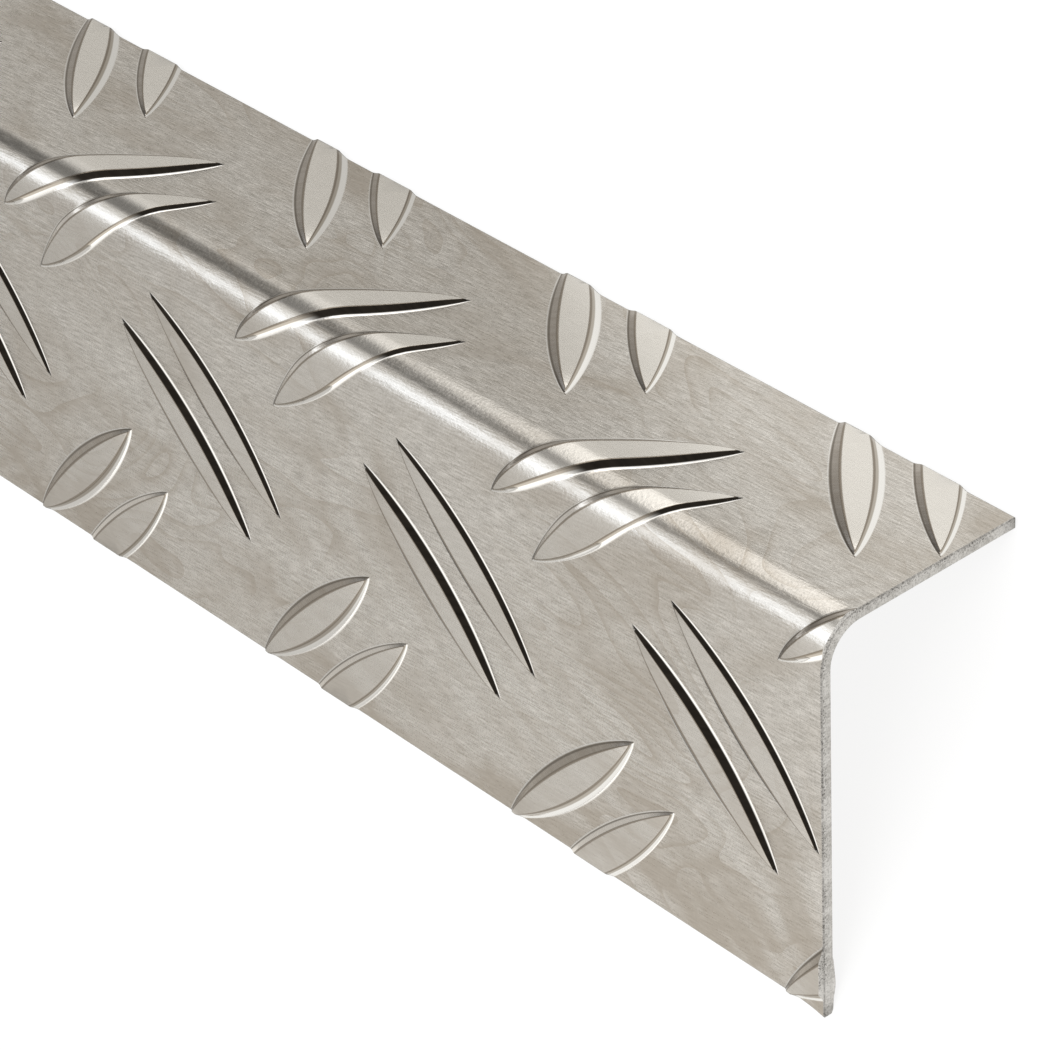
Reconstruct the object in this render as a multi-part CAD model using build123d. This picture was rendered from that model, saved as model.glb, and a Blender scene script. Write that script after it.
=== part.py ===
from build123d import *
import math
import os

# A strip of two-bar tread plate, folded once lengthwise into an angle with unequal legs.
# All sizes are in millimetres. X runs along the stock, and the far end of X is the cut end
# that the pattern is counted from.

# Angle
length = 1000.0
wide_leg = 53.0
narrow_leg = 30.0
thickness = 1.5
bend_inner_radius = 4.5

# Tread pattern on the outer faces, laid out on the flat sheet
pattern_cell = 33.0
pair_spacing = 9.25
edge_to_first_row = 3.06
end_to_first_pair = 15.2

# One raised bar: a lens-shaped footprint that tapers to a smaller, flat, lens-shaped top
bar_length = 32.8
bar_width = 6.0
bar_top_length = 28.0
bar_top_width = 3.7
relief = 0.6

# How far a bar's body is carried on below the sheet's surface, as a share of the sheet
bar_root_share = 0.3
# Width of the ridge on a bar's sloping tips, as a share of the bar's flat top
ridge_share = 0.08
# Stations along half of a bar that is wrapped round the bend, as shares of its flat top
wrap_station_shares = (0.0, 0.2, 0.4, 0.6, 0.8, 1.0)

bend_outer_radius = bend_inner_radius + thickness
bend_arc = bend_outer_radius * math.pi / 2
bend_start = narrow_leg - bend_outer_radius
bend_end = bend_start + bend_arc
sheet_width = bend_end + wide_leg - bend_outer_radius

pitch = pattern_cell * math.sqrt(2)
row_spacing = pitch / 2

root_depth = bar_root_share * thickness
wall_run = (bar_width - bar_top_width) / 2
tip_run = (bar_length - bar_top_length) / 2
root_width = bar_width + 2 * wall_run * root_depth / relief
root_length = bar_length + 2 * tip_run * root_depth / relief

# The bars lie at 45 degrees to the stock. Along and across it, a bar's tips lie one reach from its centre,
# and its root stays within the other
diagonal = math.sqrt(0.5)
tip_reach = bar_length / 2 * diagonal
root_reach = (root_length + root_width) / 2 * diagonal


def folded(along, across, height):
    """Point on the folded angle for a point of the flat sheet.

    across is measured on the patterned face from the narrow leg's edge, height outward from that face.
    """
    if across <= bend_start:
        return Vector(along, narrow_leg - across, height)
    if across >= bend_end:
        return Vector(along, -height, -bend_outer_radius - (across - bend_end))
    turn = (across - bend_start) / bend_outer_radius
    radius = bend_outer_radius + height
    return Vector(along, bend_outer_radius - radius * math.sin(turn), radius * math.cos(turn) - bend_outer_radius)


def angle_section(skin):
    """Section of the angle, with its outer face moved out by skin."""
    inner_y = thickness
    inner_z = -thickness
    corner = bend_outer_radius
    outer_mid = corner - (corner + skin) * diagonal
    inner_mid = corner - bend_inner_radius * diagonal
    outline = [
        Line((0, narrow_leg, inner_z), (0, narrow_leg, skin)),
        Line((0, narrow_leg, skin), (0, corner, skin)),
        ThreePointArc((0, corner, skin), (0, outer_mid, -outer_mid), (0, -skin, -corner)),
        Line((0, -skin, -corner), (0, -skin, -wide_leg)),
        Line((0, -skin, -wide_leg), (0, inner_y, -wide_leg)),
        Line((0, inner_y, -wide_leg), (0, inner_y, -corner)),
        ThreePointArc((0, inner_y, -corner), (0, inner_mid, -inner_mid), (0, corner, inner_z)),
        Line((0, corner, inner_z), (0, narrow_leg, inner_z)),
    ]
    return Face(Wire(outline))


def folded_sheet(skin):
    """The angle over its whole length, lying between -length / 2 and length / 2."""
    section = Pos(-length / 2, 0, 0) * angle_section(skin)
    return Solid.extrude(section, Vector(length, 0, 0))


def bar_point(centre, lean, step, side, height):
    """Point of a bar: step along it and side across it, from its centre on the flat sheet.

    lean is 1 for a bar that nears the cut end as it crosses the sheet, and -1 for one that leaves it.
    """
    along = centre[0] + (lean * step - side) * diagonal
    across = centre[1] + (step + lean * side) * diagonal
    return folded(along, across, height)


def lens(centre, lean, span, width, height):
    """Lens-shaped outline of a bar at one height above the sheet."""
    tip_a = bar_point(centre, lean, -span / 2, 0, height)
    tip_b = bar_point(centre, lean, span / 2, 0, height)
    side_a = bar_point(centre, lean, 0, -width / 2, height)
    side_b = bar_point(centre, lean, 0, width / 2, height)
    return Wire([ThreePointArc(tip_a, side_a, tip_b), ThreePointArc(tip_b, side_b, tip_a)])


def flat_bar(centre, lean):
    """A bar that lies on one flat leg."""
    root = lens(centre, lean, root_length, root_width, -root_depth)
    top = lens(centre, lean, bar_top_length, bar_top_width, relief)
    return Solid.make_loft([root, top], True)


def lens_half_width(span, width, step):
    """Half the width of a lens at a step along it from its middle."""
    half_span = span / 2
    half_width = width / 2
    radius = (half_span ** 2 + half_width ** 2) / (2 * half_width)
    return math.sqrt(radius ** 2 - step ** 2) - (radius - half_width)


def wrapped_section(centre, lean, step):
    """Section across a wrapped bar: its root, two walls and a top that follows the bend."""
    half_top = bar_top_length / 2
    ridge = ridge_share * bar_top_width / 2
    if abs(step) < half_top:
        height = relief
        top = max(ridge, lens_half_width(bar_top_length, bar_top_width, step))
    else:
        height = relief * (1 - (abs(step) - half_top) / tip_run)
        top = ridge
    root = max(2 * ridge, lens_half_width(root_length, root_width, step))
    corners = [
        bar_point(centre, lean, step, -root, -root_depth),
        bar_point(centre, lean, step, root, -root_depth),
        bar_point(centre, lean, step, top, height),
        bar_point(centre, lean, step, 0, height),
        bar_point(centre, lean, step, -top, height),
    ]
    return Wire.make_polygon(corners)


def wrapped_bar(centre, lean):
    """A bar that runs round the bend."""
    half_top = bar_top_length / 2
    half_root = half_top + tip_run * (relief + root_depth / 2) / relief
    forward = [share * half_top for share in wrap_station_shares] + [half_root]
    steps = [-step for step in reversed(forward[1:])] + forward
    return Solid.make_loft([wrapped_section(centre, lean, step) for step in steps], True)


def bar(centre, lean):
    """One raised bar, flat on a leg or wrapped round the bend."""
    on_bend = bend_start - root_reach < centre[1] < bend_end + root_reach
    return wrapped_bar(centre, lean) if on_bend else flat_bar(centre, lean)


def tread_bars():
    """Every raised bar, trimmed where the sheared edges and the cut ends run through it."""
    trim = folded_sheet(relief * 2)
    row_count = math.ceil((sheet_width + tip_reach) / row_spacing)
    pair_count = math.ceil((length + 2 * tip_reach) / pitch) + 1
    bars = []
    for row in range(row_count):
        lean = 1 if row % 2 == 0 else -1
        first_pair = end_to_first_pair - (row % 2) * pitch / 2
        for side in (-pair_spacing / 2, pair_spacing / 2):
            across = edge_to_first_row + row * row_spacing + lean * side * diagonal
            if across - tip_reach > sheet_width:
                continue
            pattern_bar = bar((0, across), lean)
            if not root_reach < across < sheet_width - root_reach:
                pattern_bar = pattern_bar & trim
            for count in range(pair_count):
                along = length / 2 - first_pair - count * pitch - side * diagonal
                if abs(along) - tip_reach > length / 2:
                    continue
                placed = Pos(along, 0, 0) * pattern_bar
                if abs(along) + root_reach > length / 2:
                    placed = placed & trim
                if placed:
                    bars.append(placed)
    return bars


# Laid down on its two long edges, with the fold uppermost, as such stock is stored
rest_tilt = math.degrees(math.atan2(wide_leg - thickness, narrow_leg - thickness))


def checker_plate_angle():
    """The finished angle, resting on its edges with its origin in the middle of the floor under it."""
    solid = folded_sheet(0).fuse(*tread_bars()).clean()
    rested = Rot(X=-rest_tilt) * solid
    box = rested.bounding_box()
    return Pos(-box.center().X, -box.center().Y, -box.min.Z) * rested


os.makedirs("parts", exist_ok=True)
export_step(checker_plate_angle(), "parts/checker_plate_angle.step")
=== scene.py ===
import math

import bpy
import numpy as np
from mathutils import Matrix, Vector
from mathutils.geometry import delaunay_2d_cdt


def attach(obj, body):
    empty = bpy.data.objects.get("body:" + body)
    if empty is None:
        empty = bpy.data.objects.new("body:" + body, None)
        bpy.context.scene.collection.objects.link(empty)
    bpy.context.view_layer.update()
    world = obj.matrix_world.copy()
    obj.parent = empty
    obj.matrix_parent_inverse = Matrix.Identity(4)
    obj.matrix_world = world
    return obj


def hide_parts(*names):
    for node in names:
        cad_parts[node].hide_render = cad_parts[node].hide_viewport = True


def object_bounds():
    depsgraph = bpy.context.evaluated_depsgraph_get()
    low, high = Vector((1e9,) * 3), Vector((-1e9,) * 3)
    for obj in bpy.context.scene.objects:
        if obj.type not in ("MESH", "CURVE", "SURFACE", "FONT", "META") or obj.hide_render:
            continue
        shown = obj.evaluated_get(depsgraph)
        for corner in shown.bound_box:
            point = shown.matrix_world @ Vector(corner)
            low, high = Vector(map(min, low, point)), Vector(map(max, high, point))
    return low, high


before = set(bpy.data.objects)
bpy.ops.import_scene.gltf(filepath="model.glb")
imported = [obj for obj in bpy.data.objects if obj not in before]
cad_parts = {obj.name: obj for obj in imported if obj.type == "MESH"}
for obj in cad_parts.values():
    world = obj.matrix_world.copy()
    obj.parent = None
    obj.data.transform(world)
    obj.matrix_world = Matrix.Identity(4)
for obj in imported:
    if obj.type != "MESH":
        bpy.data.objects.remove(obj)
cad_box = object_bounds()

# Sizes of the folded stock, in metres
wide_leg = 0.053
narrow_leg = 0.030
thickness = 0.0015
bend_inner_radius = 0.0045
length = cad_box[1][0] - cad_box[0][0]

# Tread pattern, laid out on the flat sheet: along runs with the stock, across from the narrow leg's edge
pattern_cell = 0.033
pair_spacing = 0.00925
edge_to_first_row = 0.00306
end_to_first_pair = 0.0152
row_count = 4

# The two bars of a pair: one stands high, and its neighbour is rolled lower, with a wider top.
# Root and top are half widths on the trailing side and on the leading side, which faces the cut end
bar_span = 0.0330
bar_top_span = 0.0306
tall_bar = {"side": 0.5, "relief": 0.00070, "root": (0.0032, 0.0036), "top": (0.00155, 0.00215)}
low_bar = {"side": -0.5, "relief": 0.00048, "root": (0.0030, 0.00335), "top": (0.00175, 0.0024)}
# Bars that run off a long edge are rolled over with it, by this far and by this share of their height
rolled_over = 0.0006
rolled_share = 0.45
# Bars that cross the bend are pressed flatter there, by this share of their height
pressed_middle = 0.0290
pressed_reach = 0.0065
pressed_share = 0.5
# How full the ends of a bar's outline are: 1 is a plain lens, less is blunter
tip_fullness = 0.88
# How late a bar's height falls off towards its tips: a power of the share of the way along
tip_fall = 7
# Shares of a bar's wall that are the hollow at its root and the rounded shoulder under its top
root_share = 0.52
shoulder_share = 0.16
# How far past the wall's end an outline is drawn on a bar's top, as a share of the wall
top_inset = 1.25

# The saw dragged the wide leg's corner out at the cut end, by this far over this reach
dragged = 0.00055
dragged_reach = 0.0045
# A burr that thickens the cut end's inside near that corner: its height, place and half width across
burr_height = 0.0005
burr_across = 0.0045
burr_reach = 0.0030

# Finish of the sheet: the slant of its scratches, its stained strips and how many tide lines a stain has
scratch_slant = 0.07
stained_wide_edge = 0.018
stained_narrow_edge = 0.010
tide_lines = 15
# Marks per metre, along and across the sheet
fine_scratches = (430, 4300)
broad_streaks = (110, 1500)
rolled_grain = (3200, 3200)
peeled_skin = (1700, 2300)
smoky_patches = (27, 44)
tide_field = (18, 34)
tide_places = (24, 34)
saw_marks = (1600, 1600)
saw_pits = (4200, 4200)
saw_smears = (240, 240)
# Shares of the climb up a bar's wall over which its finishes, its painted shade and its painted black fade in
# and out
wall_head = (0.97, 1.0)
top_foot = (0.98, 1.08)
trailing_shade_foot = (0.12, 0.24)
shade_foot = (0.56, 0.68)
black_foot = (0.26, 0.38)
black_head = (0.92, 0.98)
root_line_foot = (0.20, 0.28)
root_line_head = (0.34, 0.46)
rim_line_foot = (0.80, 0.90)
rim_line_head = (1.02, 1.12)
rim_line_widening = 0.10
# Places across the sheet, from where the bend starts: the end of the walls painted black and the painted dark
# reflection line on the bend, with how far the line's sides shift over the stretch of the stock before the
# cut end
black_end = (0.0022, 0.0046)
dark_line_start = (0.0011, 0.0022)
dark_line_start_shift = (0.0016, 0.0012)
dark_line_end = (0.0029, 0.0036)
dark_line_end_shift = (0.0006, 0.0005)
before_cut_end = (0.40, 0.49)

# Mesh steps
bar_steps = 26
bent_bar_steps = 36
flat_step = 0.0032
bend_step = 0.0014
bend_rows = 14
ring_clearance = 0.00035
edge_radius = 0.00014
edge_turns = 3
inside_step = 0.009
# Every other row of loose points is moved by this share of a step, one way or the other
stagger_share = 0.25
# How often the search for a point's place on a bar's wall is halved
wall_halvings = 22

# Slack on the sheet
parallel_slack = 1e-12
side_slack = 1e-9
rim_slack = 1e-8
outward_slack = 1e-7
closest_marks = 3e-6
# The shortest share of an outline's step that is kept, and the slack on a climb
shortest_share = 1e-6
inset_slack = 0.001
# Digits by which points are told apart
merge_digits = 7
# How far to each side of a point the tread's slope is read
slope_nudge = 1e-5

# How far the wide leg's edge lies behind the middle of the angle where it stands on the floor
wide_edge_back = 0.02984

bend_outer_radius = bend_inner_radius + thickness
bend_start = narrow_leg - bend_outer_radius
bend_end = bend_start + bend_outer_radius * math.pi / 2
sheet_width = bend_end + wide_leg - bend_outer_radius
pitch = pattern_cell * math.sqrt(2)
diagonal = math.sqrt(0.5)
bar_reach = (bar_span / 2 + max(tall_bar["root"])) * diagonal


class Bar:
    """One raised bar: a lens on the flat sheet that climbs a hollow-rooted wall to a flat top."""

    def __init__(self, along, across, lean, kind):
        self.along = along
        self.across = across
        self.lean = lean
        self.tall = 1.0 if kind is tall_bar else 0.0
        self.relief = kind["relief"]
        self.root = (bar_span / 2, *kind["root"])
        self.top = (bar_top_span / 2, *kind["top"])

    def lens(self, climb):
        """Half span, trailing and leading half width of the outline at a share of the way up the wall."""
        return tuple(low + (high - low) * climb for low, high in zip(self.root, self.top))

    def ring(self, climb):
        """Outline points at a share of the way up the wall, closer together near the tips."""
        bent = bend_start - bar_reach < self.across < bend_end + bar_reach
        steps = bent_bar_steps if bent else bar_steps
        half_span, trailing, leading = self.lens(climb)
        turn = np.linspace(0, 2 * math.pi, 2 * steps, endpoint=False)
        step = -np.cos(turn)
        side = (1 - step ** 2) ** tip_fullness * np.where(turn < math.pi, trailing, -leading)
        return self.placed(step * half_span, side)

    def placed(self, step, side):
        along = self.along + (self.lean * step - side) * diagonal
        across = self.across + (step + self.lean * side) * diagonal
        return np.column_stack([along, across])

    def steps_and_sides(self, points):
        """Places of sheet points along the bar and to its trailing side, from its middle."""
        d_along = points[:, 0] - self.along
        d_across = points[:, 1] - self.across
        return (self.lean * d_along + d_across) * diagonal, (self.lean * d_across - d_along) * diagonal

    def height_at(self, points, climb):
        """Height of the bar: up its wall to a top that falls off towards the tips."""
        step, _ = self.steps_and_sides(points)
        fall = np.minimum(np.abs(step) / self.root[0], 1) ** tip_fall
        return self.relief * wall_rise(np.minimum(climb, 1)) * (1 - fall)

    def climb_at(self, points, margin=0.0):
        """How far up the wall each sheet point lies: 0 outside, 1 at the rim of the top, more inside it."""
        step, side = self.steps_and_sides(points)
        low = np.zeros(len(points))
        high = np.full(len(points), top_inset)
        for _ in range(wall_halvings):
            middle = (low + high) / 2
            half_span, trailing, leading = self.lens(middle)
            share = np.minimum(np.abs(step) / (half_span + margin), 1)
            half_width = np.where(side > 0, trailing, leading) + margin
            inside = np.abs(side) <= half_width * (1 - share ** 2) ** tip_fullness
            low = np.where(inside, middle, low)
            high = np.where(inside, high, middle)
        return low


def wall_rise(climb):
    """Height share of a bar's wall: a hollow root, a straight flank and a rounded shoulder."""
    slope = 1 / (1 - (root_share + shoulder_share) / 2)
    root = slope * climb ** 2 / (2 * root_share)
    flank = slope * (climb - root_share / 2)
    shoulder = 1 - slope * (1 - climb) ** 2 / (2 * shoulder_share)
    rise = np.where(climb < root_share, root, flank)
    return np.where(climb > 1 - shoulder_share, shoulder, rise)


ring_climbs = (0.0, root_share / 2, root_share, 1 - shoulder_share, 1 - shoulder_share / 2, 1.0, top_inset)


def bars_between(low, high):
    """Every bar that reaches into a stretch of the stock."""
    bars = []
    for row in range(row_count):
        lean = 1 if row % 2 == 0 else -1
        row_across = edge_to_first_row + row * pitch / 2
        first = length / 2 - end_to_first_pair + (row % 2) * pitch / 2
        for kind in (tall_bar, low_bar):
            side = kind["side"] * pair_spacing
            across = row_across + lean * side * diagonal
            start = first - side * diagonal
            nearest = math.floor((start - high - bar_reach) / pitch)
            farthest = math.ceil((start - low + bar_reach) / pitch)
            for count in range(nearest, farthest + 1):
                along = start - count * pitch
                if low - bar_reach < along < high + bar_reach:
                    bars.append(Bar(along, across, lean, kind))
    return bars


tread_marks = ("height", "climb", "facing", "lean", "tall", "reach")


def tread_at(points, bars):
    """The tread at sheet points: its height, and where on which kind of bar they lie."""
    tread = {name: np.zeros(len(points)) for name in tread_marks}
    for bar in bars:
        near = np.hypot(points[:, 0] - bar.along, points[:, 1] - bar.across) < bar_span
        if near.any():
            climb = bar.climb_at(points[near])
            on_bar = climb > 0
            tread["climb"][near] = np.maximum(tread["climb"][near], climb)
            tread["height"][near] += bar.height_at(points[near], climb)
            step, side = bar.steps_and_sides(points[near])
            tread["facing"][near] -= np.sign(side) * on_bar
            tread["reach"][near] += step / bar.root[0] * on_bar
            tread["lean"][near] += bar.lean * on_bar
            tread["tall"][near] += bar.tall * on_bar
    to_edge = np.clip(np.minimum(points[:, 1], sheet_width - points[:, 1]) / rolled_over, 0, 1)
    to_bend = np.clip(np.abs(points[:, 1] - pressed_middle) / pressed_reach, 0, 1)
    pressed = 1 - pressed_share * (1 - to_bend ** 2) ** 2
    tread["height"] *= pressed * np.sqrt(1 - (1 - to_edge) ** 2 * rolled_share)
    return tread


def clipped(ring, low, high):
    """Pieces of a closed outline inside a rectangle of the sheet, as pairs of end points."""
    pieces = []
    for start, end in zip(ring, np.roll(ring, -1, axis=0)):
        enter, leave = 0.0, 1.0
        run = end - start
        for axis in (0, 1):
            if abs(run[axis]) < parallel_slack:
                if not low[axis] <= start[axis] <= high[axis]:
                    leave = -1.0
                continue
            shares = sorted((bound[axis] - start[axis]) / run[axis] for bound in (low, high))
            enter = max(enter, shares[0])
            leave = min(leave, shares[1])
        if leave - enter > shortest_share:
            pieces.append((start + run * enter, start + run * leave))
    return pieces


def side_marks(marks, low, high, step):
    """Places along one side of a stretch: its ends, the outlines that cross it, and even fill."""
    marks = sorted([low, high] + [float(mark) for mark in marks])
    kept = [marks[0]]
    for mark in marks[1:]:
        gap = mark - kept[-1]
        if gap < closest_marks:
            continue
        fill = int(gap // step)
        kept += np.linspace(kept[-1], mark, fill + 2)[1:].tolist()
    kept[-1] = high
    return kept


def fill_points(low, high, bars, step_on_flats, step_on_bend):
    """Loose points that shape the flats, the bend and the tops of the bars."""
    bend = np.linspace(bend_start, bend_end, bend_rows)
    narrow_count = max(2, round((bend_start - low[1]) / step_on_flats))
    wide_count = max(2, round((high[1] - bend_end) / step_on_flats))
    rows = [(across, step_on_flats) for across in np.linspace(low[1], bend_start, narrow_count)[1:-1]]
    rows += [(across, step_on_bend) for across in bend]
    rows += [(across, step_on_flats) for across in np.linspace(bend_end, high[1], wide_count)[1:-1]]
    points = []
    for number, (across, step) in enumerate(rows):
        count = max(2, round((high[0] - low[0]) / step))
        stagger = stagger_share if number % 2 else -stagger_share
        shares = (np.arange(1, count) + stagger) / count
        points.append(np.column_stack([low[0] + shares * (high[0] - low[0]), np.full(count - 1, across)]))
    points = np.vstack(points)
    keep = np.ones(len(points), dtype=bool)
    for bar in bars:
        touching = bar.climb_at(points, ring_clearance) > 0
        on_top = bar.climb_at(points, -ring_clearance) > top_inset - inset_slack
        keep &= ~touching | on_top
    return points[keep]


class Stretch:
    """A triangulated stretch of one face of the sheet, with its four sides in order."""

    def __init__(self, low, high, bars, sides=None, coarse=False):
        self.low = np.array(low)
        self.high = np.array(high)
        rings = [bar.ring(climb) for bar in bars for climb in ring_climbs]
        pieces = [piece for ring in rings for piece in clipped(ring, low, high)]
        self.sides = self.crossings(pieces)
        self.sides.update(sides or {})
        steps = (inside_step, inside_step) if coarse else (flat_step, bend_step)
        self.points, self.triangles = self.triangulate(pieces, fill_points(self.low, self.high, bars, *steps))
        self.tread = tread_at(self.points, bars)
        self.slope = self.gradient(bars)
        self.rim = {name: self.numbers(name) for name in self.sides}

    def crossings(self, pieces):
        ends = np.array([point for piece in pieces for point in piece]).reshape(-1, 2)
        sides = {}
        for axis, side in ((0, "end"), (1, "edge")):
            other = 1 - axis
            for value, key in ((self.low[axis], "low_" + side), (self.high[axis], "high_" + side)):
                on_side = ends[np.abs(ends[:, axis] - value) < side_slack][:, other]
                bend = np.linspace(bend_start, bend_end, bend_rows) if side == "end" else []
                sides[key] = side_marks([*on_side, *bend], self.low[other], self.high[other], flat_step)
        return sides

    def side_points(self, name):
        """Points of one side, in order along it."""
        bound = self.low if name.startswith("low") else self.high
        marks = np.array(self.sides[name])
        if name.endswith("end"):
            return np.column_stack([np.full(len(marks), bound[0]), marks])
        return np.column_stack([marks, np.full(len(marks), bound[1])])

    def numbers(self, name):
        """Point numbers of one side, in order along it."""
        return [int(np.argmin(((self.points - mark) ** 2).sum(axis=1))) for mark in self.side_points(name)]

    def triangulate(self, pieces, loose):
        low_edge = self.side_points("low_edge")[:-1]
        high_end = self.side_points("high_end")[:-1]
        high_edge = self.side_points("high_edge")[:0:-1]
        low_end = self.side_points("low_end")[:0:-1]
        rim = np.vstack([low_edge, high_end, high_edge, low_end])
        ends = self.snapped(np.array(pieces).reshape(-1, 2), rim)
        points = np.vstack([rim, ends, loose])
        turn = np.arange(len(rim))
        rim_edges = np.column_stack([turn, np.roll(turn, -1)])
        ring_edges = np.arange(len(ends)).reshape(-1, 2) + len(rim)
        rounded = np.round(points, merge_digits)
        _, first, same = np.unique(rounded, axis=0, return_index=True, return_inverse=True)
        edges = same.reshape(-1)[np.vstack([rim_edges, ring_edges])]
        edges = np.unique(np.sort(edges, axis=1), axis=0)
        edges = edges[edges[:, 0] != edges[:, 1]]
        places = [Vector(point) for point in points[first] - self.low]
        made = delaunay_2d_cdt(places, edges.tolist(), [], 1, rim_slack)
        return np.array([tuple(point) for point in made[0]]) + self.low, np.array(made[2])

    def snapped(self, ends, rim):
        """Outline ends that lie on the rim, moved onto its own points."""
        on_low = (np.abs(ends - self.low) < rim_slack).any(axis=1)
        on_high = (np.abs(ends - self.high) < rim_slack).any(axis=1)
        for number in np.nonzero(on_low | on_high)[0]:
            ends[number] = rim[np.argmin(((rim - ends[number]) ** 2).sum(axis=1))]
        return ends

    def gradient(self, bars):
        """Slopes of the tread, read just past each point, so that a ridge takes its leading side's slope."""
        places = self.points + (2 * slope_nudge, 0)
        slopes = []
        for axis in np.eye(2) * slope_nudge:
            rise = tread_at(places + axis, bars)["height"] - tread_at(places - axis, bars)["height"]
            slopes.append(rise / (2 * slope_nudge))
        return np.column_stack(slopes)


class Skin:
    """One whole face of the sheet: stretches side by side, counted from the cut end, sharing their seams."""

    def __init__(self, stretches):
        points, slopes, triangles = [], [], []
        tread = {name: [] for name in tread_marks}
        edges = {"low_edge": [], "high_edge": []}
        count = 0
        seam = None
        for stretch, shift in stretches:
            fresh = np.ones(len(stretch.points), dtype=bool)
            number = np.empty(len(stretch.points), dtype=int)
            if seam is not None:
                fresh[stretch.rim["high_end"]] = False
                number[stretch.rim["high_end"]] = seam
            number[fresh] = count + np.arange(fresh.sum())
            count += fresh.sum()
            points.append(stretch.points[fresh] - (shift, 0))
            slopes.append(stretch.slope[fresh])
            triangles.append(number[stretch.triangles])
            for name in tread_marks:
                tread[name].append(stretch.tread[name][fresh])
            if seam is None:
                near_end = number[stretch.rim["high_end"]]
            seam = number[stretch.rim["low_end"]]
            for name, edge in edges.items():
                edge.extend(number[stretch.rim[name]][::-1][0 if not edge else 1:])
        self.points = np.vstack(points)
        self.slope = np.vstack(slopes)
        self.triangles = np.vstack(triangles)
        self.tread = {name: np.concatenate(values) for name, values in tread.items()}
        self.rim = [*edges["low_edge"][::-1], *near_end[1:], *edges["high_edge"][1:], *seam[::-1][1:-1]]


def pattern_stretches(coarse_from=None):
    """The near stretch with the cut end, one repeating stretch, and the short one at the far end."""
    cut_end = length / 2 - edge_radius
    repeats = int(length // pitch) - 1
    marks = [cut_end, length / 2 - pitch, length / 2 - 2 * pitch]
    far_seam = length / 2 - (repeats + 1) * pitch
    spans = [(marks[1], marks[0]), (marks[2], marks[1]), (edge_radius - length / 2, far_seam)]
    made = []
    seam = None
    for number, (low, high) in enumerate(spans):
        corners = (low, edge_radius), (high, sheet_width - edge_radius)
        if coarse_from:
            made.append(Stretch(*corners, [], coarse_from[number].sides, coarse=True))
            continue
        ends = {}
        if seam and number == 1:
            ends = {"low_end": seam, "high_end": seam}
        elif seam:
            ends = {"high_end": seam}
        made.append(Stretch(*corners, bars_between(low, high), ends))
        seam = seam or made[0].sides["low_end"]
    return made


def laid_out(made):
    """Stretches with how far each is moved from where it was made, from the cut end on."""
    repeats = int(length // pitch) - 1
    return [(made[0], 0.0)] + [(made[1], count * pitch) for count in range(repeats)] + [(made[2], 0.0)]


def rest_turn(first, second):
    """Section direction turned the way the angle lies on the floor, standing on its two edges."""
    tilt = math.atan2(wide_leg - thickness, narrow_leg - thickness)
    return first * math.cos(tilt) + second * math.sin(tilt), second * math.cos(tilt) - first * math.sin(tilt)


def bend_turn(across):
    return np.clip((across - bend_start) / bend_outer_radius, 0, math.pi / 2)


def sheared(points):
    """Points of the flat sheet, with the wide leg's corner at the cut end dragged out a little by the saw."""
    to_cut = np.clip(1 - (length / 2 - points[:, 0]) / dragged_reach, 0, 1)
    to_edge = np.clip(1 - (sheet_width - points[:, 1]) / (2 * dragged_reach), 0, 1)
    return points + np.outer(dragged * to_cut ** 2 * to_edge, (0.0, 1.0))


def folded(points, height):
    """Places on the folded angle for points of the flat sheet and heights over its patterned face."""
    along, across = sheared(points).T
    turn = bend_turn(across)
    radius = bend_outer_radius + height
    first = bend_outer_radius - radius * np.sin(turn) - np.minimum(across - bend_start, 0)
    second = radius * np.cos(turn) - bend_outer_radius - np.maximum(across - bend_end, 0)
    back, up = rest_turn(first - thickness, second + wide_leg)
    return np.column_stack([along, back - wide_edge_back, up])


def folded_directions(points, flat):
    """Directions on the folded angle for directions along, across and out of the flat sheet."""
    turn = bend_turn(points[:, 1])
    across = -np.cos(turn), -np.sin(turn)
    out = -np.sin(turn), np.cos(turn)
    first = flat[:, 1] * across[0] + flat[:, 2] * out[0]
    second = flat[:, 1] * across[1] + flat[:, 2] * out[1]
    turned = np.column_stack([flat[:, 0], *rest_turn(first, second)])
    return turned / np.linalg.norm(turned, axis=1, keepdims=True)


def rim_outward(points):
    """Way out of the sheet, in its own plane, at points of its rim."""
    low = np.array([edge_radius - length / 2, edge_radius])
    high = -low + (0, sheet_width)
    past_high = np.where(points > high - outward_slack, 1.0, 0.0)
    past_low = np.where(points < low + outward_slack, 1.0, 0.0)
    return past_high - past_low


def burr_at(points):
    """Height of the burr the saw left on the inside of the cut end, near the wide leg's corner."""
    at_cut = np.where(points[:, 0] > length / 2 - 2 * edge_radius, 1.0, 0.0)
    off_middle = (points[:, 1] - sheet_width + burr_across) / burr_reach
    return burr_height * at_cut * np.clip(1 - off_middle ** 2, 0, 1)


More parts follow.
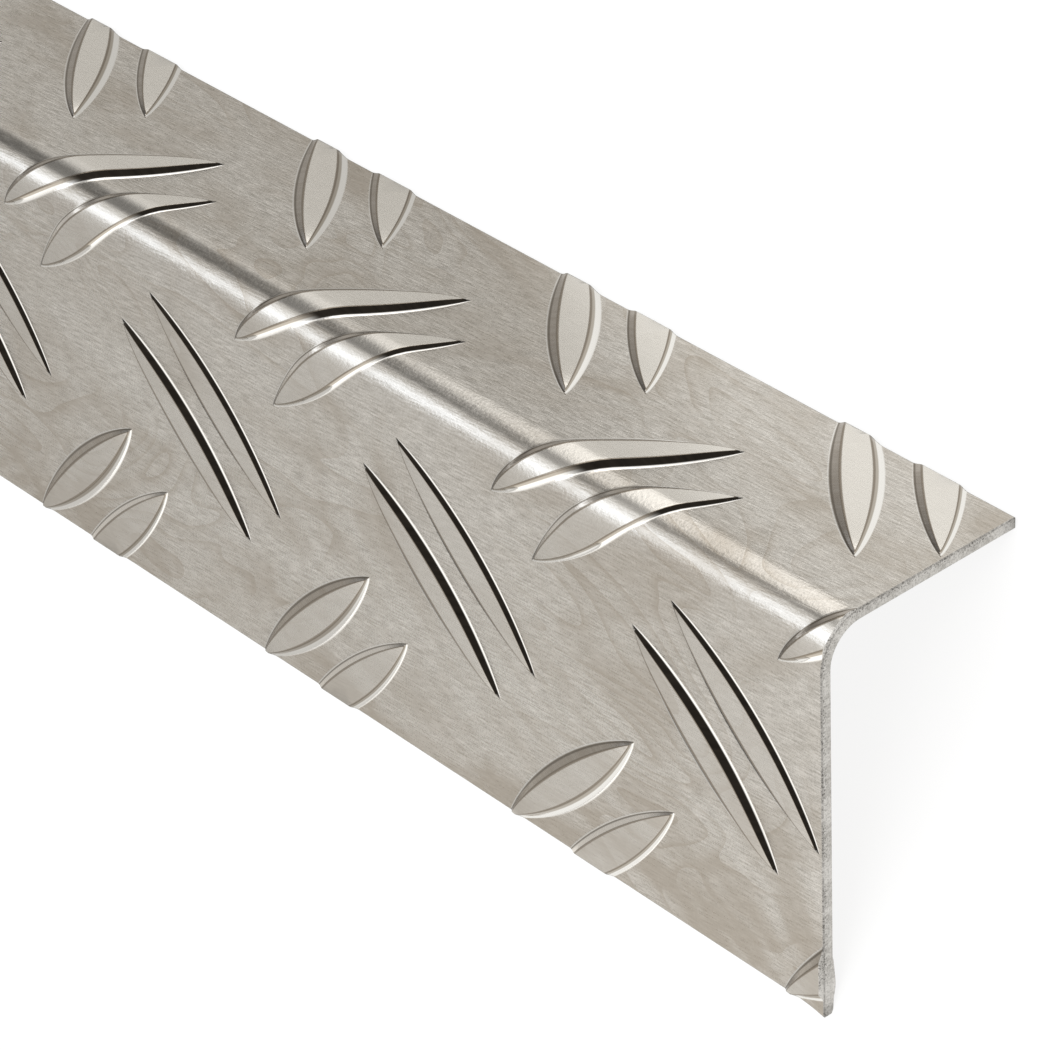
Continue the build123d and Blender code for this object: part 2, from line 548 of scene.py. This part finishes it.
def make_angle():
    """The folded tread plate as one closed mesh: patterned face, plain inside, and narrow rounded edges."""
    made = pattern_stretches()
    outside = Skin(laid_out(made))
    inside = Skin(laid_out(pattern_stretches(made)))

    rim = outside.points[outside.rim]
    top = outside.tread["height"][outside.rim]
    outward = rim_outward(rim)
    bulge = burr_at(rim)
    rings = []
    for turn in range(1, edge_turns + 1):
        lean = math.pi / 2 * turn / edge_turns
        rings.append((lean, top - edge_radius * (1 - math.cos(lean)), 1))
    for turn in range(edge_turns, 0, -1):
        lean = math.pi / 2 * turn / edge_turns
        rings.append((lean, edge_radius * (1 - math.cos(lean)) - thickness - bulge, -1))

    points = [outside.points, inside.points]
    heights = [outside.tread["height"], -thickness - burr_at(inside.points)]
    up = np.ones(len(outside.points))
    flats = [np.column_stack([-outside.slope, up])]
    flats.append(np.tile((0.0, 0.0, -1.0), (len(inside.points), 1)))
    for lean, height, facing in rings:
        points.append(rim + outward * edge_radius * math.sin(lean))
        heights.append(height)
        flats.append(np.column_stack([outward * math.sin(lean), np.full(len(rim), facing * math.cos(lean))]))
    points = np.vstack(points)
    heights = np.concatenate(heights)
    normals = folded_directions(points, np.vstack(flats))
    places = folded(points, heights)

    start = len(outside.points)
    loops = [np.array(outside.rim)]
    loops += [start + len(inside.points) + n * len(rim) + np.arange(len(rim)) for n in range(len(rings))]
    loops += [start + np.array(inside.rim)]
    walls = []
    for upper, lower in zip(loops, loops[1:]):
        walls.append(np.column_stack([upper, np.roll(upper, -1), np.roll(lower, -1), lower]))
    walls = np.vstack(walls)
    faces = [*outside.triangles[:, ::-1].tolist(), *(inside.triangles + start).tolist(), *walls.tolist()]

    mesh = bpy.data.meshes.new("folded_tread_plate")
    mesh.from_pydata(places.tolist(), [], faces)
    mesh.polygons.foreach_set("use_smooth", [True] * len(faces))
    mesh.polygons.foreach_set("material_index", [0] * (len(faces) - len(walls)) + [1] * len(walls))
    sheet = mesh.uv_layers.new(name="sheet")
    corners = np.empty(len(mesh.loops), dtype=np.int32)
    mesh.loops.foreach_get("vertex_index", corners)
    sheet.data.foreach_set("uv", points[corners].astype(np.float32).ravel())
    plain = np.zeros(len(points) - start)
    marks = {**outside.tread, "steep": np.hypot(*outside.slope.T)}
    marks = {name: np.concatenate([values, plain]) for name, values in marks.items()}
    marks["height"] = heights
    for name, values in marks.items():
        mesh.attributes.new(name, "FLOAT", "POINT").data.foreach_set("value", values.astype(np.float32))
    mesh.normals_split_custom_set_from_vertices(normals.tolist())
    mesh.validate()
    angle = bpy.data.objects.new("folded_tread_plate", mesh)
    bpy.context.scene.collection.objects.link(angle)
    return angle


class Socket:
    """An output of a node tree that joins others through ordinary arithmetic."""

    def __init__(self, tree, socket):
        self.tree = tree
        self.socket = socket

    def math(self, operation, first, second):
        return self.tree.node("ShaderNodeMath", {"operation": operation}, {0: first, 1: second})

    def __add__(self, other):
        return self.math("ADD", self, other)

    def __radd__(self, other):
        return self.math("ADD", other, self)

    def __sub__(self, other):
        return self.math("SUBTRACT", self, other)

    def __rsub__(self, other):
        return self.math("SUBTRACT", other, self)

    def __mul__(self, other):
        return self.math("MULTIPLY", self, other)

    def __rmul__(self, other):
        return self.math("MULTIPLY", other, self)

    def __pow__(self, other):
        return self.math("POWER", self, other)

    def at_least(self, other):
        return self.math("MAXIMUM", self, other)

    def at_most(self, other):
        return self.math("MINIMUM", self, other)

    def between(self, low, high):
        """Soft step: 0 below low, 1 above high."""
        sockets = {"Value": self, "From Min": low, "From Max": high}
        return self.tree.node("ShaderNodeMapRange", {"interpolation_type": "SMOOTHSTEP"}, sockets)

    def band(self, rise, fall):
        """1 between two soft steps, each given as where it starts and ends."""
        return self.between(*rise) * (1 - self.between(*fall))

    def ramp(self, *stops):
        """Values read off a line through stops."""
        return self.tree.node("ShaderNodeValToRGB", {"stops": stops}, {"Fac": self})


class Nodes:
    """The nodes of one material or of the world."""

    def __init__(self, owner):
        owner.use_nodes = True
        self.tree = owner.node_tree
        self.tree.nodes.clear()

    def node(self, kind, settings=None, sockets=None, out=0):
        made = self.tree.nodes.new(kind)
        for name, value in (settings or {}).items():
            if name == "stops":
                while len(made.color_ramp.elements) < len(value):
                    made.color_ramp.elements.new(1.0)
                for element, (place, level) in zip(made.color_ramp.elements, value):
                    element.position = place
                    element.color = (level, level, level, 1.0)
            else:
                setattr(made, name, value)
        for name, value in (sockets or {}).items():
            if isinstance(value, Socket):
                self.tree.links.new(value.socket, made.inputs[name])
            else:
                made.inputs[name].default_value = value
        return Socket(self, made.outputs[out]) if made.outputs else None

    def parts(self, vector):
        """The three numbers of a vector."""
        made = self.node("ShaderNodeSeparateXYZ", None, {0: vector})
        return [Socket(self, output) for output in made.socket.node.outputs]

    def vector(self, first, second, third):
        return self.node("ShaderNodeCombineXYZ", None, {0: first, 1: second, 2: third})

    def mix(self, share, first, second):
        """Colour between two colours."""
        return self.node("ShaderNodeMix", {"data_type": "RGBA"}, {0: share, 6: first, 7: second}, out=2)

    def noise(self, place, marks, layer, detail, rough, distortion=0.0):
        """Cloudy values about a half, with so many marks per metre each way, on a layer of their own."""
        along, across = [value * count for value, count in zip(place, marks)]
        sockets = {"Vector": self.vector(along, across, layer), "Scale": 1.0, "Detail": detail}
        sockets.update({"Roughness": rough, "Distortion": distortion})
        return self.node("ShaderNodeTexNoise", None, sockets)

    def sheet_place(self):
        """Place on the flat sheet, along the stock and across it."""
        return self.parts(self.node("ShaderNodeUVMap", {"uv_map": "sheet"}))[:2]

    def mark(self, name):
        """A value that the mesh carries at its points."""
        return self.node("ShaderNodeAttribute", {"attribute_name": name}, out=2)

    def metal(self, base, rough, relief):
        """Bare metal of a colour and roughness, scratched or pitted by a fine relief."""
        scratched = {"Strength": 0.25, "Distance": 0.00006, "Height": relief}
        bump = self.node("ShaderNodeBump", None, scratched)
        sockets = {"Base Color": base, "Metallic": 1.0, "Roughness": rough, "Normal": bump}
        shader = self.node("ShaderNodeBsdfPrincipled", None, sockets)
        self.node("ShaderNodeOutputMaterial", None, {"Surface": shader})


def colour(red, green, blue):
    return (red, green, blue, 1.0)


# Colours of the rolled face with its painted shade and reflections, of the sawn edges, and of the floor and
# light
scratch_dark = colour(0.43, 0.408, 0.372)
scratch_bright = colour(0.76, 0.731, 0.686)
stain_brown = colour(0.37, 0.322, 0.262)
narrow_leg_top = colour(0.84, 0.81, 0.755)
polished_wall = colour(0.86, 0.845, 0.815)
shaded_wall = colour(0.44, 0.40, 0.345)
# Painted shade on trailing bar walls: pale on the wide leg's low bars, dark on its tall bars and on the
# narrow leg
low_bar_painted_tone = colour(0.84, 0.79, 0.72)
tall_bar_painted_shade = colour(0.40, 0.35, 0.29)
narrow_leg_painted_shade = colour(0.32, 0.28, 0.235)
tip_painted_shade = colour(0.07, 0.06, 0.05)
away_painted_shade = colour(0.13, 0.115, 0.095)
root_painted_shade = colour(0.13, 0.11, 0.085)
rim_painted_shade = colour(0.22, 0.185, 0.145)
# Painted reflection: black for bar walls, standing in for mirrored dark surroundings
wall_painted_black = colour(0.008, 0.007, 0.006)
wall_painted_black_streak = colour(0.030, 0.025, 0.020)
# Painted reflection: the dark line along the bend
bend_painted_dark_reflection = colour(0.06, 0.057, 0.052)
sawn_dark = colour(0.44, 0.425, 0.40)
sawn_bright = colour(0.66, 0.645, 0.62)
sawn_smear = colour(0.74, 0.725, 0.70)
saw_pit = colour(0.10, 0.095, 0.088)
outer_rim_painted_shade = colour(0.16, 0.15, 0.14)
floor_lit = colour(0.9, 0.9, 0.9)
floor_painted_light_far = colour(0.61, 0.596, 0.57)
floor_painted_light_near = colour(0.98, 0.97, 0.945)
warm_light = colour(1, 0.985, 0.96)
cool_light = colour(0.92, 0.97, 1.04)
white = colour(1, 1, 1)


def drawn_scratches(nodes, along, across):
    """Scratches drawn along the sheet, with its grain, about zero, and the broader streaks among them."""
    drawn = across + along * scratch_slant
    fine = nodes.noise((along, drawn), fine_scratches, 0.0, 1.0, 0.5)
    streaks = nodes.noise((along, drawn), broad_streaks, 3.0, 2.0, 0.6)
    grain = nodes.noise((along, across), rolled_grain, 7.0, 1.0, 0.5)
    return (fine - 0.5) * 1.7 + (streaks - 0.5) * 0.35 + (grain - 0.5) * 0.9, streaks


def stains(nodes, along, across):
    """Brown stains: smoky patches, tide lines in places, and more of both near the long edges."""
    place = along, across
    smoke = nodes.noise(place, smoky_patches, 4.0, 4.0, 0.60, 1.6).between(0.37, 0.68)
    field = nodes.noise(place, tide_field, 1.5, 1.5, 0.45, 1.4)
    tide = nodes.node("ShaderNodeMath", {"operation": "FRACT"}, {0: field * tide_lines}) ** 4
    where = nodes.noise(place, tide_places, 9.0, 2.0, 0.5).between(0.40, 0.58)
    near_wide_edge = across.between(sheet_width - stained_wide_edge, sheet_width)
    near_narrow_edge = 1 - across.between(0.0, stained_narrow_edge)
    near_edge = near_wide_edge + near_narrow_edge * 0.6
    patches = 0.08 + smoke * (0.60 + near_edge * 0.30) + tide * where * 0.55 + near_edge * 0.22
    return patches.at_most(1.0)


def rolled_aluminium():
    """Mill-finish face: satin flats scratched along the sheet and stained, and bars whose walls are polished
    bright, with painted shade on their trailing sides, painted black reflections along some of their leading
    sides, and a painted dark reflection line on the bend."""
    material = bpy.data.materials.new("rolled_aluminium")
    nodes = Nodes(material)
    along, across = nodes.sheet_place()
    marks = ("steep", "climb", "facing", "lean", "tall", "reach")
    steep, climb, facing, lean, tall, reach = [nodes.mark(name) for name in marks]

    # Where on a bar, and on which kind of bar
    on_wide_leg = across.between(bend_start, bend_end)
    leading = facing.between(-0.5, 0.5)
    uphill = lean.between(-0.5, 0.5)
    near_tip = (reach * reach).between(0.35, 0.90)
    bar_top = climb.between(*top_foot)
    away = (1 - leading) * lean.between(0.0, 0.8) * on_wide_leg
    wall = steep.between(0.06, 0.28) * (1 - climb.between(*wall_head))
    trailing_wall = (1 - leading) * climb.band(trailing_shade_foot, wall_head)
    leading_wall = leading * climb.band(shade_foot, wall_head)
    root_line = climb.band(root_line_foot, root_line_head) * trailing_wall
    rim_line = climb.band(rim_line_foot, [share + away * rim_line_widening for share in rim_line_head])
    past_bend = across.between(*[bend_start + place for place in black_end])
    # Painted reflection: black on the leading walls of bars leaning one way on the wide leg and the other way
    # before the bend
    painted_black_reflection = leading * climb.band(black_foot, black_head)
    painted_black_reflection = painted_black_reflection * (uphill * on_wide_leg + (1 - uphill) * (1 - past_bend))

    # Where on the bend: its stretched skin, and a painted dark reflection line that fades towards the cut end
    stretched = across.band((bend_start - 0.001, bend_start + 0.002), (bend_end - 0.003, bend_end))
    to_cut = along.between(*before_cut_end)
    sides = [
        [bend_start + place + to_cut * shift for place, shift in zip(places, shifts)]
        for places, shifts in ((dark_line_start, dark_line_start_shift), (dark_line_end, dark_line_end_shift))
    ]
    bend_painted_dark_line = across.band(*sides) * (1 - to_cut * 0.6) * (1 - wall)

    scratches, streaks = drawn_scratches(nodes, along, across)
    scratches = scratches * (1 - bar_top * 0.65) * (1 - stretched * 0.4)
    peel = nodes.noise((along, across), peeled_skin, 5.0, 2.0, 0.6)
    stain = stains(nodes, along, across) * (1 - wall) * (1 - bar_top * (0.75 - on_wide_leg * 0.35))

    brightness = (scratches + 0.5).at_least(0.0).at_most(1.0)
    base = nodes.mix(brightness, scratch_dark, scratch_bright)
    base = nodes.mix(stain * 0.70, base, stain_brown)
    base = nodes.mix(bar_top * (0.6 - on_wide_leg * 0.6), base, narrow_leg_top)
    base = nodes.mix(wall, base, polished_wall)
    base = nodes.mix(leading_wall, base, shaded_wall)
    # Painted shade on the trailing walls: pale on the wide leg's low bars, dark on its tall bars and on the
    # narrow leg
    painted_trailing_shade = nodes.mix(tall.between(0.2, 0.8), low_bar_painted_tone, tall_bar_painted_shade)
    painted_trailing_shade = nodes.mix(on_wide_leg, narrow_leg_painted_shade, painted_trailing_shade)
    # Painted shade: near black towards the tips of the trailing walls
    painted_trailing_shade = nodes.mix(near_tip * 0.8, painted_trailing_shade, tip_painted_shade)
    # Painted shade: darker still on the wide leg's trailing walls that face away
    painted_trailing_shade = nodes.mix(away, painted_trailing_shade, away_painted_shade)
    base = nodes.mix(trailing_wall * (0.75 + streaks * 0.3), base, painted_trailing_shade)
    # Painted shade: a dark line in the hollow root of the trailing walls
    base = nodes.mix(root_line * 0.75, base, root_painted_shade)
    # Painted shade: a dark line round each bar's rounded shoulder, wider where the walls face away
    base = nodes.mix(rim_line * 0.85, base, rim_painted_shade)
    black = nodes.mix(streaks, wall_painted_black, wall_painted_black_streak)
    base = nodes.mix(painted_black_reflection, base, black)
    base = nodes.mix(bend_painted_dark_line * 0.55, base, bend_painted_dark_reflection)

    rough = 0.27 + scratches * 0.10 + stain * 0.04 - wall * 0.13 + trailing_wall * 0.12 - stretched * 0.06
    relief = scratches * (1 - wall * 0.85) * (1 - stretched * 0.25) + (peel - 0.5) * stretched * 1.1
    nodes.metal(base, rough, relief)
    return material


def sawn_edge():
    """The narrow cut edges: satin grey, pitted by the saw, most of all along the outer side, with painted
    shade along the rounded outer rim.
    """
    material = bpy.data.materials.new("sawn_edge")
    nodes = Nodes(material)
    place = nodes.sheet_place()
    height = nodes.mark("height")
    marks = nodes.noise(place, saw_marks, height * 1500, 3.0, 0.65)
    pits = nodes.noise(place, saw_pits, height * 4200, 2.0, 0.6).between(0.50, 0.62)
    smeared = nodes.noise(place, saw_smears, 2.0, 2.0, 0.5).between(0.44, 0.66)
    outer_side = height.between(-0.0010, -0.0002)
    outer_line = height.band((-0.00030, -0.00012), (0.0, 0.0001))
    base = nodes.mix(marks.between(0.3, 0.7), sawn_dark, sawn_bright)
    base = nodes.mix(smeared * 0.6, base, sawn_smear)
    base = nodes.mix(pits * (0.3 + outer_side * (1 - smeared) * 0.6), base, saw_pit)
    # Painted shade: a broken dark line over the rounded outer rim
    base = nodes.mix(outer_line * marks.between(0.38, 0.55) * 0.55, base, outer_rim_painted_shade)
    nodes.metal(base, 0.46, marks)
    return material


def background_ray(nodes):
    """1 for what the camera sees directly, or in metal or glass, and 0 for light that falls on things."""
    outputs = nodes.node("ShaderNodeLightPath").socket.node.outputs
    names = ("Is Camera Ray", "Is Glossy Ray", "Is Transmission Ray")
    camera, glossy, through = [Socket(nodes, outputs[name]) for name in names]
    return camera.at_least(glossy).at_least(through)


def make_floor():
    """A wide pale floor, white to the camera, that metal shows with a painted pool of light near the cut end,
    darker towards the far end of the stock.
    """
    mesh = bpy.data.meshes.new("pale_floor")
    reach = 6.0
    corners = [(-reach, -reach, 0), (reach, -reach, 0), (reach, reach, 0), (-reach, reach, 0)]
    mesh.from_pydata(corners, [], [(0, 1, 2, 3)])
    floor = bpy.data.objects.new("pale_floor", mesh)
    bpy.context.scene.collection.objects.link(floor)
    material = bpy.data.materials.new("pale_floor")
    nodes = Nodes(material)
    lit = nodes.node("ShaderNodeBsdfDiffuse", None, {"Color": floor_lit})
    along, _, _ = nodes.parts(nodes.node("ShaderNodeNewGeometry"))
    # Painted light: a pool of light near the cut end, seen only in the metal's reflections
    painted_light_pool = nodes.mix(along.between(0.397, 0.449), floor_painted_light_far, floor_painted_light_near)
    camera_ray = nodes.node("ShaderNodeLightPath")
    pale = nodes.mix(camera_ray, painted_light_pool, white)
    plain = nodes.node("ShaderNodeEmission", None, {"Color": pale, "Strength": 1.0})
    share = background_ray(nodes) * (0.97 - camera_ray * 0.11)
    shader = nodes.node("ShaderNodeMixShader", None, {0: share, 1: lit, 2: plain})
    nodes.node("ShaderNodeOutputMaterial", None, {"Surface": shader})
    mesh.materials.append(material)


def make_studio():
    """Soft studio light all round. Behind the stock it has a low glow, a dimmer band and a bright strip."""
    world = bpy.data.worlds.new("studio")
    bpy.context.scene.world = world
    nodes = Nodes(world)
    x, y, z = nodes.parts(nodes.node("ShaderNodeTexCoord"))
    level = (x * 0.5 + 0.5).ramp((0.02, 0.52), (0.09, 0.60), (0.13, 0.67), (0.21, 0.90),
                                 (0.28, 1.15), (0.34, 1.40), (0.41, 1.35), (0.5, 1.0))
    # Angles round the length of the stock, in degrees up from the narrow leg's side
    round_x = nodes.node("ShaderNodeMath", {"operation": "ARCTAN2"}, {0: z, 1: y}) * (180 / math.pi)
    behind = 1 - x.between(-0.42, -0.28)
    nearer = x.between(-0.70, -0.59)
    glow = round_x.band((-6 - nearer * 8, 8 - nearer * 4), (14 + nearer * 24, 26 + nearer * 22))
    glow = glow * behind * nearer ** 3
    dim = round_x.band((8 + nearer * 30, 26 + nearer * 24), (42 + nearer * 11, 52 + nearer * 10))
    dim = dim * behind
    strip_end = 78 + nearer ** 2 * 10, 87 + nearer ** 2 * 12
    strip = round_x.band((54 + nearer * 8, 74 + nearer * 6), strip_end) * behind
    light = level * (1 - dim * 0.45) + glow * 0.9 + strip * 1.22
    tint = nodes.mix(strip, warm_light, cool_light)
    lit = nodes.node("ShaderNodeBackground", None, {"Color": tint, "Strength": light})
    plain = nodes.node("ShaderNodeBackground", None, {"Color": white, "Strength": 1.0})
    camera_ray = nodes.node("ShaderNodeLightPath")
    shader = nodes.node("ShaderNodeMixShader", None, {0: camera_ray, 1: lit, 2: plain})
    nodes.node("ShaderNodeOutputWorld", None, {"Surface": shader})

    lamp = bpy.data.lights.new("overhead_softbox", "AREA")
    lamp.size = 2.4
    lamp.energy = 42.0
    softbox = bpy.data.objects.new("overhead_softbox", lamp)
    softbox.location = (0.3, 0.2, 2.2)
    softbox.visible_glossy = False
    bpy.context.scene.collection.objects.link(softbox)


def make_camera():
    """Camera close over the cut end, looking down and along the stock, turned almost on its side."""
    place = Vector((0.78323, 0.12965, 0.40873))
    right = Vector((0.66617, 0.32258, -0.67243))
    up = Vector((-0.39501, 0.91738, 0.04876))
    back = Vector((0.63260, 0.23313, 0.73856))
    data = bpy.data.cameras.new("camera")
    data.sensor_width = 36.0
    data.lens = 157.93
    data.clip_start = 0.01
    camera = bpy.data.objects.new("camera", data)
    camera.matrix_world = Matrix.Translation(place) @ Matrix((right, up, back)).transposed().to_4x4()
    bpy.context.scene.collection.objects.link(camera)
    bpy.context.scene.camera = camera


bpy.context.scene.view_settings.view_transform = "Standard"
angle = make_angle()
angle.data.materials.append(rolled_aluminium())
angle.data.materials.append(sawn_edge())
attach(angle, "root")
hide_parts("checker_plate_angle")
make_floor()
make_studio()
make_camera()
